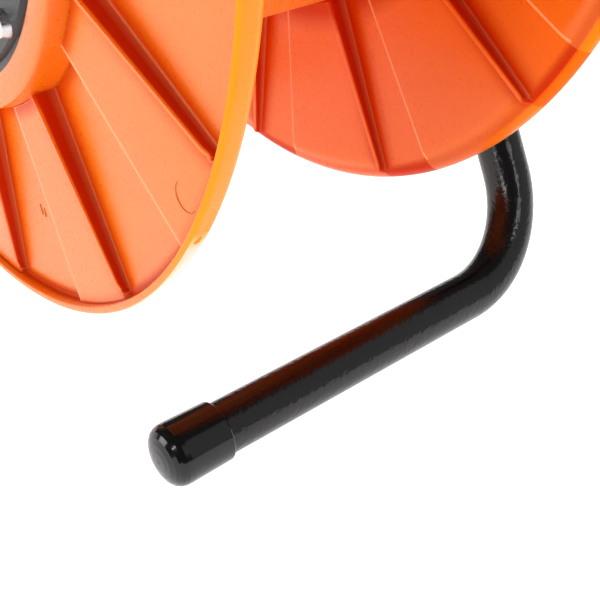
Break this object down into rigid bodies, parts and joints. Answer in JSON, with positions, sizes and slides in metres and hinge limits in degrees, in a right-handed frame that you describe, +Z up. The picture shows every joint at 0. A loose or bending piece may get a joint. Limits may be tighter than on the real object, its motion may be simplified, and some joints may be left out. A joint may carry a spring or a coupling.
{
  "type": "extension cord reel",
  "caption": "Orange two-flange cable reel on a bent black tube stand, with lidded sockets, cut-out and winding knob.",
  "frame": {"origin": "on the floor, at the centre of the part's outline seen from above", "axes": "+Z up, the drum turns about Y, the sockets and the knob face -Y, the stand's uprights are on the +Y side"},
  "size_m": [0.29, 0.2136, 0.38],
  "materials": {
    "black_enamel": "gloss black stoved enamel with slight orange peel",
    "black_vinyl": "glossy soft vinyl",
    "zinc_steel": "bright zinc plated",
    "spring_steel": "oiled spring steel",
    "black_grip": "fine matt moulded",
    "orange_plastic": "satin, slightly translucent orange moulding",
    "white_nylon": "natural nylon",
    "black_plastic": "satin moulded",
    "gasket_rubber": "matt",
    "brass": "bright",
    "red_plastic": "gloss"
  },
  "bodies": {
    "stand": {"frame_tube": "black_enamel", "foot_cap_right": "black_vinyl", "foot_cap_left": "black_vinyl", "cross_bar": "black_enamel", "axle": "zinc_steel", "thrust_washer": "zinc_steel", "end_washer": "zinc_steel", "retaining_clip": "spring_steel", "handle_grip": "black_grip"},
    "drum": {"front_flange": "orange_plastic", "rear_flange": "orange_plastic", "drum_barrel": "orange_plastic", "hub_bush_front": "white_nylon", "hub_bush_rear": "white_nylon", "tie_screws": "zinc_steel", "socket_panel": "black_plastic", "panel_gasket": "gasket_rubber", "panel_screws": "zinc_steel", "cable_gland": "black_plastic", "gland_nut": "black_plastic", "socket_insert_1": "black_plastic", "socket_insert_2": "black_plastic", "socket_insert_3": "black_plastic", "socket_insert_4": "black_plastic", "contact_tubes": "brass", "earth_clips": "brass", "live_busbar": "brass", "neutral_busbar": "brass", "earth_busbar": "brass", "terminal_block": "white_nylon", "thermal_cutout": "black_plastic", "cutout_nut": "zinc_steel", "lid_pins": "zinc_steel", "lid_springs": "spring_steel", "knob_bolt": "zinc_steel", "knob_washer": "zinc_steel"},
    "button": {"reset_button": "red_plastic"},
    "knob": {"crank_knob": "black_grip", "knob_cap": "black_grip"},
    "lid_1": {"socket_lid_1": "black_plastic"},
    "lid_2": {"socket_lid_2": "black_plastic"},
    "lid_3": {"socket_lid_3": "black_plastic"},
    "lid_4": {"socket_lid_4": "black_plastic"}
  },
  "joints": [
    {"name": "drum_spin", "type": "hinge", "parent": "stand", "child": "drum", "pos_m": [0, 0, 0.165], "axis": [0, 1, 0], "continuous": true},
    {"name": "knob_spin", "type": "hinge", "parent": "drum", "child": "knob", "pos_m": [0, -0.0796, 0.277], "axis": [0, 1, 0], "continuous": true},
    {"name": "reset_press", "type": "slide", "parent": "drum", "child": "button", "axis": [0, 1, 0], "range_m": [0, 0.0025], "stiffness_N_per_m": 300, "springref_m": -0.002},
    {"name": "lid_1_hinge", "type": "hinge", "parent": "drum", "child": "lid_1", "pos_m": [0, -0.0592, 0.0978], "axis": [1, 0, 0], "range_deg": [0, 110], "stiffness_Nm_per_rad": 0.012, "springref_deg": -34.38},
    {"name": "lid_2_hinge", "type": "hinge", "parent": "drum", "child": "lid_2", "pos_m": [0.0672, -0.0592, 0.165], "axis": [0, 0, 1], "range_deg": [0, 110], "stiffness_Nm_per_rad": 0.012, "springref_deg": -34.38},
    {"name": "lid_3_hinge", "type": "hinge", "parent": "drum", "child": "lid_3", "pos_m": [0, -0.0592, 0.2322], "axis": [-1, 0, 0], "range_deg": [0, 110], "stiffness_Nm_per_rad": 0.012, "springref_deg": -34.38},
    {"name": "lid_4_hinge", "type": "hinge", "parent": "drum", "child": "lid_4", "pos_m": [-0.0672, -0.0592, 0.165], "axis": [0, 0, -1], "range_deg": [0, 110], "stiffness_Nm_per_rad": 0.012, "springref_deg": -34.38}
  ]
}
